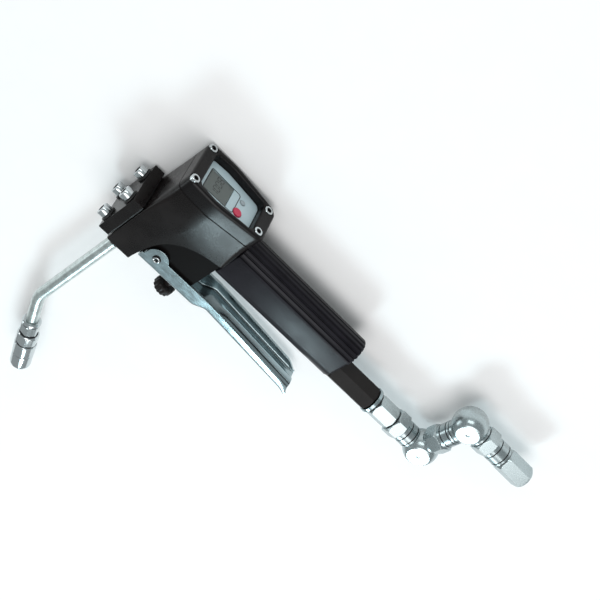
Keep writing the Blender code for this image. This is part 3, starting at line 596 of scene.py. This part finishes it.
def hose_swivel():
    arm_1 = tool(0, 66, 0)
    arm_3 = tool(0, 116, 0)
    column = tool(276.3, 0, 0)
    bar_piece("inlet_adapter", 19.6, 175.8, 217.0, 6.6, "X", arm_1, turn=0.26, chamfer=1.8)
    bar_piece("swivel_nut", 17.4, 222.2, 241.6, 2.5, "X", arm_1)
    bar_piece("swivel_case_1", 20.4, 242.0, 253.0, 6.5, "X", arm_1,
              ring_tail(253.0, 264.6, 9.7, 6.5, (256.4, 262.2)))
    bar_piece("swivel_case_2", 20.4, 79.2, 90.2, 6.5, "Y", column,
              ring_tail(90.2, 102.0, 9.7, 6.5, (93.4, 99.6)))
    bar_piece("swivel_case_3", 20.4, 289.5, 300.5, 6.5, "X", arm_3,
              ring_tail(300.5, 314.4, 9.7, 6.5, (303.6, 311.6)))
    bar_piece("hose_nut", 18.2, 314.8, 341.0, 5.7, "X", arm_3, chamfer=2.4)
    # Dark rings of painted shade in the swivel's grooves and running gaps
    for name, node, axis, at, start, end, radius in (
            ("nut_gap", "swivel_nut", "X", arm_1, 241.3, 242.3, 8.55),
            ("case_1_groove_1", "swivel_case_1", "X", arm_1, 256.0, 256.8, 9.15),
            ("case_1_groove_2", "swivel_case_1", "X", arm_1, 261.8, 262.6, 9.15),
            ("case_1_gap", "swivel_case_1", "X", arm_1, 264.3, 265.2, 9.0),
            ("case_2_groove_1", "swivel_case_2", "Y", column, 93.0, 93.8, 9.15),
            ("case_2_groove_2", "swivel_case_2", "Y", column, 99.2, 100.0, 9.15),
            ("case_2_gap", "swivel_case_2", "Y", column, 78.6, 79.5, 9.2),
            ("case_3_groove_1", "swivel_case_3", "X", arm_3, 303.2, 304.0, 9.15),
            ("case_3_groove_2", "swivel_case_3", "X", arm_3, 311.2, 312.0, 9.15),
            ("case_3_gap", "swivel_case_3", "X", arm_3, 288.9, 289.8, 9.2),
            ("hose_nut_gap", "hose_nut", "X", arm_3, 314.1, 315.1, 8.9)):
        painted_shade_ring(name, node, axis, at, start, end, radius)
    elbow("swivel_elbow_1", tool(276.3, 66, 0), [("X", -1, 11.4), ("Y", 1, 12.9)])
    elbow("swivel_elbow_2", tool(276.3, 116, 0), [("Y", -1, 13.7), ("X", 1, 12.9)])


# ---------------------------------------------------------------- nozzle
BEND_ANGLE = math.radians(24.8)
BEND_RADIUS = 30.0
BEND_Y = -96.3
TUBE_R = 5.0
TUBE_END = 38.0


def along_nozzle(bm):
    """Turns a piece made along Y to the nozzle's direction, at the bend."""
    bend = tool(0, BEND_Y, 0)
    moved(bm, bend)
    bmesh.ops.rotate(bm, cent=bend, matrix=Matrix.Rotation(math.pi + BEND_ANGLE, 3, "Z"),
                     verts=bm.verts)
    return bm


def nozzle_piece(node, profile, scallop=None):
    piece(node + "_finished", along_nozzle(turned(profile, 72, "Y", scallop)), SLOTS[node],
          BODY_OF[node], node, angle=11)


def nozzle_shade_ring(name, start, end, radius):
    """Painted shade: a dark ring in a gap or groove of the coupler."""
    bm = along_nozzle(turned(shadow_profile(start, end, radius), 48, "Y"))
    piece(name, bm, "blackened_steel", BODY_OF["coupler_body"], look="socket_shadow")


def hexagon_on(start, end, flats):
    """Flats milled over part of a turned piece."""
    shape = hexagon_scallop(flats)

    def share(along, radius, spin):
        if start <= along <= end and radius > flats / 2 * 0.9:
            return shape(along, radius, spin + math.pi / 6)
        return 1.0

    return share


def tube_route():
    """Centre line of the outlet tube, with the angle of its direction at each point."""
    tangent = BEND_RADIUS * math.tan(BEND_ANGLE / 2)
    route = [(Vector((0, 20.0, 0)), 0.0)]
    for step in range(17):
        angle = BEND_ANGLE * step / 16
        route.append((Vector((BEND_RADIUS * (1 - math.cos(angle)),
                              BEND_Y + tangent - BEND_RADIUS * math.sin(angle), 0)), angle))
    end = Vector((math.sin(BEND_ANGLE), -math.cos(BEND_ANGLE), 0)) * TUBE_END
    route.append((Vector((0, BEND_Y, 0)) + end, BEND_ANGLE))
    return route


def outlet_tube():
    bm = bmesh.new()
    rings = []
    for centre, angle in tube_route():
        across = Vector((math.cos(angle), math.sin(angle), 0))
        ring = []
        for k in range(48):
            spin = 2 * math.pi * k / 48
            point = centre + across * TUBE_R * math.cos(spin)
            point.z += TUBE_R * math.sin(spin)
            ring.append(bm.verts.new(tool(*point)))
        rings.append(ring)
    skin(bm, rings)
    piece("outlet_tube_finished", bm, "zinc", BODY_OF["outlet_tube"], "outlet_tube",
          look="tube_zinc")


def nozzle():
    outlet_tube()
    bar_piece("outlet_nut", 15.0, 7.0, 20.7, 5.3, "Y", tool(0, 0, 0), turn=0.0)

    nozzle_piece("coupler_adapter", [
        (30.0, 5.2), (30.0, 6.6), (30.8, 7.5), (31.6, 7.9), (32.6, 7.9), (33.0, 7.2), (34.0, 7.2),
        (34.4, 7.9), (43.4, 7.9), (45.2, 6.9), (45.2, 5.2)], hexagon_on(34.2, 43.6, 14.32))
    nozzle_piece("coupler_body", [
        (45.6, 6.0), (45.6, 8.0), (46.2, 8.5), (47.8, 9.15), (55.8, 9.2), (56.6, 8.4), (57.8, 8.4),
        (58.6, 9.2), (70.2, 9.2), (71.0, 8.9), (71.4, 8.3), (71.4, 6.0)],
        hexagon_on(47.4, 56.2, 17.29))
    nozzle_piece("coupler_sleeve", [
        (71.8, 6.9), (71.8, 8.3), (72.2, 8.8), (73.0, 8.9), (84.0, 8.85), (85.6, 8.5),
        (86.6, 7.9), (87.0, 7.3), (87.0, 5.3), (86.2, 5.2), (82.0, 6.4)])
    # Dark rings of painted shade in the coupler's gaps and grooves
    nozzle_shade_ring("adapter_gap", 45.0, 45.9, 7.7)
    nozzle_shade_ring("adapter_groove", 33.0, 34.1, 7.45)
    nozzle_shade_ring("body_groove", 56.6, 57.8, 8.75)
    nozzle_shade_ring("sleeve_gap", 71.2, 72.0, 8.45)


# ---------------------------------------------------------------- screws
def cover_bolts():
    """Socket heads with knurled sides."""
    for index in range(1, 5):
        node = "cover_bolt_%d" % index
        centre = middle(node)
        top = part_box(node)[0].x
        hexagonal = hexagon_scallop(5.2)

        def share(along, radius, spin):
            if radius < 3.4:
                return hexagonal(along, radius, spin)
            return 1.0 - (0.018 if int(spin / (2 * math.pi) * 72 + 0.5) % 2 else 0.0)

        profile = [(3.0, 0), (3.0, 3.0), (0.0, 3.0), (0.0, 4.2), (0.3, 4.7), (0.8, 4.95),
                   (5.2, 4.95), (5.6, 4.7), (5.6, 0)]
        bm = turned(profile, 72, "X", share)
        bolt = piece(node + "_finished", moved(bm, Vector((top, centre.y, centre.z))),
                     "nickel", BODY_OF[node], node, angle=30)
        paint_socket_shade(bolt, centre, 2.9 * MM, "X")


def paint_socket_shade(obj, centre, reach, axis):
    """Paints the walls and floor of a key socket dark: painted shade in the deep socket."""
    obj.data.materials.append(LOOKS["socket_shadow"])
    keep = {"X": (0, 1, 1), "Y": (1, 0, 1), "Z": (1, 1, 0)}[axis]
    for face in obj.data.polygons:
        offset = face.center - centre
        across = Vector([a * b for a, b in zip(offset, keep)])
        if across.length < reach:
            face.material_index = 1


def bezel_screws():
    for index in range(1, 5):
        node = "bezel_screw_%d" % index
        centre = middle(node)
        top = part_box(node)[1].y
        hexagonal = hexagon_scallop(3.0)

        def share(along, radius, spin):
            return hexagonal(along, radius, spin) if radius < 2.0 else 1.0

        profile = [(-2.6, 0), (-2.6, 1.75), (-0.4, 1.85), (-0.25, 2.0), (-0.25, 3.1),
                   (-0.5, 3.35), (-0.9, 3.4), (-2.9, 3.4), (-2.9, 0)]
        bm = turned(profile, 60, "Y", share)
        screw = piece(node + "_finished", moved(bm, Vector((centre.x, top, centre.z))),
                      "nickel", BODY_OF[node], node, angle=35)
        paint_socket_shade(screw, centre, 2.0 * MM, "Y")


def pivot_ring():
    """Bright rim of the lever's pivot screw, and a dark ring of painted shadow round its head."""
    top = (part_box("pivot_screw")[1].z - ORIGIN.z) / MM
    rim = [(top - 0.05, 1.6), (top + 0.1, 1.75), (top + 0.2, 2.1), (top + 0.1, 2.6),
           (top - 0.05, 2.75)]
    ring = [(12.9, 2.9), (12.9, 3.5), (13.08, 3.5), (13.08, 2.9)]
    at = Vector((PIVOT.x, PIVOT.y, ORIGIN.z))
    piece("pivot_screw_rim", moved(turned(rim, 48, "Z"), at), "nickel", BODY_OF["pivot_screw"])
    piece("pivot_shadow", moved(turned(ring, 48, "Z"), at), "blackened_steel",
          BODY_OF["pivot_screw"], look="socket_shadow")


def thumbscrew():
    """Black knob with round finger scallops, on its threaded shank."""
    centre = middle("thumbscrew")
    low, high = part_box("thumbscrew")

    def share(along, radius, spin):
        if radius > 7.0:
            return 1.0 - 0.085 * abs(math.sin(spin * 7)) ** 3
        return 1.0

    profile = [(0.0, 0), (0.0, 6.4), (0.35, 7.4), (1.2, 8.2), (6.8, 8.2), (7.8, 7.5), (8.2, 6.4),
               (8.4, 4.0), (9.4, 3.8), (13.2, 3.8), (13.6, 2.5)]
    turns = 14
    for k in range(turns):
        start = 13.8 + k * 0.9
        profile += [(start, 2.15), (start + 0.45, 2.5)]
    profile += [(26.6, 2.2), (high.y / MM - low.y / MM, 1.7), (high.y / MM - low.y / MM, 0)]
    bm = turned(profile, 84, "Y", share)
    piece("thumbscrew_finished", moved(bm, Vector((centre.x, low.y, centre.z))),
          "blackened_steel", "thumbscrew", "thumbscrew", angle=40)


# ---------------------------------------------------------------- lever
def lever_web(x):
    """Height of the channel's back along the lever."""
    if x < 68.0:
        return 20.6
    if x < 80.0:
        share = (x - 68.0) / 12.0
        return 20.6 + 5.5 * share * share * (3 - 2 * share)
    return 26.1 - 0.086 * (x - 80.0)


def lever_wall(x):
    """Height of the channel's free edge along the lever, round the ears and down to the end."""
    across = 9.3 ** 2 - (x - 26.0) ** 2
    ear = 32.3 + math.sqrt(across) if across > 0 else 0.0
    if x < 26.0:
        return max(28.0, ear)
    if x < 80.0:
        return max(35.3, ear)
    if x < 158.0:
        return 35.0 - 8.0 * ((x - 80.0) / 78.0) ** 1.2
    return 27.0 - 7.0 * ((x - 158.0) / 14.0) ** 1.6


def lever_section(x):
    """One side of the pressed channel, middle to edge, then back along the inside."""
    web = lever_web(x)
    edge = max(lever_wall(x), web + 2.9)
    radius = min(4.2, (edge - web) * 0.7)
    ramp = min(1.0, max(0.0, (x - 86.0) / 12.0))
    bead = 2.0 * ramp * ramp * (3 - 2 * ramp)
    outside, inside = [], []
    for z, lift in ((0.0, 1.0), (2.0, 1.0), (3.4, 0.85), (4.4, 0.5), (5.4, 0.15), (6.4, 0.0),
                    (7.6, 0.0)):
        outside.append((web + bead * lift, z))
        inside.append((web + 2.0 + bead * lift, z * 0.96))
    for k in range(9):
        angle = math.pi / 2 * k / 8
        outside.append((web + radius - radius * math.cos(angle),
                        13.0 - radius + radius * math.sin(angle)))
        small = max(0.5, radius - 2.0)
        inside.append((web + 2.0 + small - small * math.cos(angle),
                       11.0 - small + small * math.sin(angle)))
    outside.append((edge, 13.0))
    inside.append((edge, 11.0))
    return outside, inside


def lever():
    """Pressed steel channel with two ears, a bead along its back and a cranked web."""
    stations = [15.4 + 0.53 * k for k in range(40)] + [36.5 + 1.75 * k for k in range(18)]
    stations += [67.5 + 1.0 * k for k in range(14)] + [81.5 + 2.5 * k for k in range(31)]
    stations += [158.0 + 1.4 * k for k in range(11)]
    bm = bmesh.new()
    rings = []
    for x in stations:
        outside, inside = lever_section(x)
        loop = [(y, z) for y, z in outside] + [(y, z) for y, z in reversed(inside)]
        mirror = [(y, -z) for y, z in reversed(loop)][1:-1]
        rings.append([bm.verts.new(tool(x, y, z)) for y, z in loop + mirror])
    skin(bm, rings, capped=False)
    half = len(lever_section(20.0)[0])
    for ring in (rings[0], rings[-1]):
        loop = ring[:2 * half]
        other = [ring[0]] + list(reversed(ring[2 * half:])) + [ring[2 * half - 1]]
        for side in (loop, other):
            size = len(side)
            for k in range(size // 2 - 1):
                quad = [side[k], side[k + 1], side[size - 2 - k], side[size - 1 - k]]
                if len(set(quad)) == 4:
                    bm.faces.new(quad)
    obj = piece("trigger_lever_finished", bm, "zinc", "trigger", "trigger_lever", angle=50)
    return soften(obj, 0.35 * MM, 2, 55)


# ---------------------------------------------------------------- grip
GRIP_Y, GRIP_FRONT_Y, GRIP_BACK_Y, GRIP_HALF = 78.0, 69.0, 85.0, 13.0
RIDGES, RIDGE_STEPS, RIDGE_DEPTH = 11, 12, 1.25


def grip_outline():
    """Round plain front, then a ridged back, as (y, z)."""
    points = []
    for k in range(33):
        angle = math.pi / 2 + math.pi * k / 32
        points.append((GRIP_FRONT_Y + GRIP_HALF * math.cos(angle), GRIP_HALF * math.sin(angle)))
    total = RIDGES * RIDGE_STEPS
    for k in range(total + 1):
        angle = -math.pi / 2 + math.pi * k / total
        wave = (k % RIDGE_STEPS) / RIDGE_STEPS
        dip = RIDGE_DEPTH * max(0.0, math.cos(2 * math.pi * wave)) ** 0.7
        points.append((GRIP_BACK_Y + (GRIP_HALF + 2.0 - dip) * math.cos(angle),
                       (GRIP_HALF - dip) * math.sin(angle)))
    return points


def grip():
    """Smooth front and sides; fine ridges run along the rounded back."""
    points = grip_outline()
    low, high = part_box("grip")
    start, end = (low.x - ORIGIN.x) / MM, (high.x - ORIGIN.x) / MM
    bm = bmesh.new()
    rings = []
    for x, inset in ((start, 0.8), (start + 0.3, 0.25), (start + 1.0, 0.0), (end - 1.6, 0.0),
                     (end - 0.6, 0.35), (end - 0.1, 0.9), (end, 1.5)):
        ring = []
        for y, z in points:
            reach = math.hypot(y - GRIP_Y, z)
            share = (reach - inset) / reach
            ring.append(bm.verts.new(tool(x, GRIP_Y + (y - GRIP_Y) * share, z * share)))
        rings.append(ring)
    skin(bm, rings)
    piece("grip_finished", bm, "grip_plastic", BODY_OF["grip"], "grip", angle=40)


# ---------------------------------------------------------------- studio
def area(name, at, aim, size, power, colour):
    """Soft box at a place, facing another."""
    light = bpy.data.lights.new(name, "AREA")
    light.shape = "RECTANGLE"
    light.size, light.size_y = size
    light.energy = power
    light.color = colour
    obj = bpy.data.objects.new(name, light)
    obj.location = at
    obj.rotation_euler = (Vector(aim) - Vector(at)).to_track_quat("-Z", "Y").to_euler()
    bpy.context.scene.collection.objects.link(obj)


def camera():
    data = bpy.data.cameras.new("camera")
    data.lens = LENS
    data.sensor_width = 36.0
    data.clip_end = 50.0
    obj = bpy.data.objects.new("camera", data)
    axes = Matrix((CAMERA_RIGHT, CAMERA_UP, CAMERA_BACK)).transposed()
    obj.matrix_world = Matrix.Translation(CAMERA_AT) @ axes.to_4x4()
    bpy.context.scene.collection.objects.link(obj)
    bpy.context.scene.camera = obj


def floor():
    bm = bmesh.new()
    bmesh.ops.create_grid(bm, x_segments=1, y_segments=1, size=6.0)
    mesh = bpy.data.meshes.new("floor")
    bm.to_mesh(mesh)
    bm.free()
    obj = bpy.data.objects.new("floor", mesh)
    bpy.context.scene.collection.objects.link(obj)
    mesh.materials.append(finish("floor_paper", (0.925, 0.91, 0.905), 0.9, scale=40, vary=0.01,
                                 bump=0.02, patch=3, specular=0.1))


def studio():
    """Even pale light all round, and boxes at the mirror directions of the main faces."""
    world = bpy.data.worlds.new("studio")
    world.use_nodes = True
    world.node_tree.nodes["Background"].inputs["Color"].default_value = (0.87, 0.93, 0.95, 1)
    world.node_tree.nodes["Background"].inputs["Strength"].default_value = 0.45
    bpy.context.scene.world = world
    bpy.context.scene.view_settings.view_transform = "Standard"
    meter, hose = tool(20, 80, 20), tool(276, 90, 10)
    for name, at, aim, size, power, colour in (
            ("overhead", (0.15, 0.37, 1.45), (0, 0, 0), (1.6, 0.9), 12.0, (1, 1, 1)),
            ("hose_box", (0.83, -0.75, 1.03), hose, (0.62, 0.42), 2.1, (1, 1, 1)),
            ("teal_box", (0.514, -0.728, 0.80), meter, (0.34, 0.26), 5.2, (0.70, 0.93, 1.0)),
            ("back_side", (-0.69, 1.03, 0.52), (0, 0, 0), (0.8, 0.25), 2.4, (0.95, 1.0, 1.0)),
            ("cover_side", (-1.14, -0.57, 0.34), (0, 0, 0), (0.7, 0.25), 1.6,
             (0.90, 0.98, 1.0))):
        area(name, at, aim, size, power, colour)


housing()
bezel()
display()
hose_swivel()
nozzle()
cover_bolts()
bezel_screws()
pivot_ring()
thumbscrew()
lever()
grip()
frame_pieces()
camera()
floor()
studio()
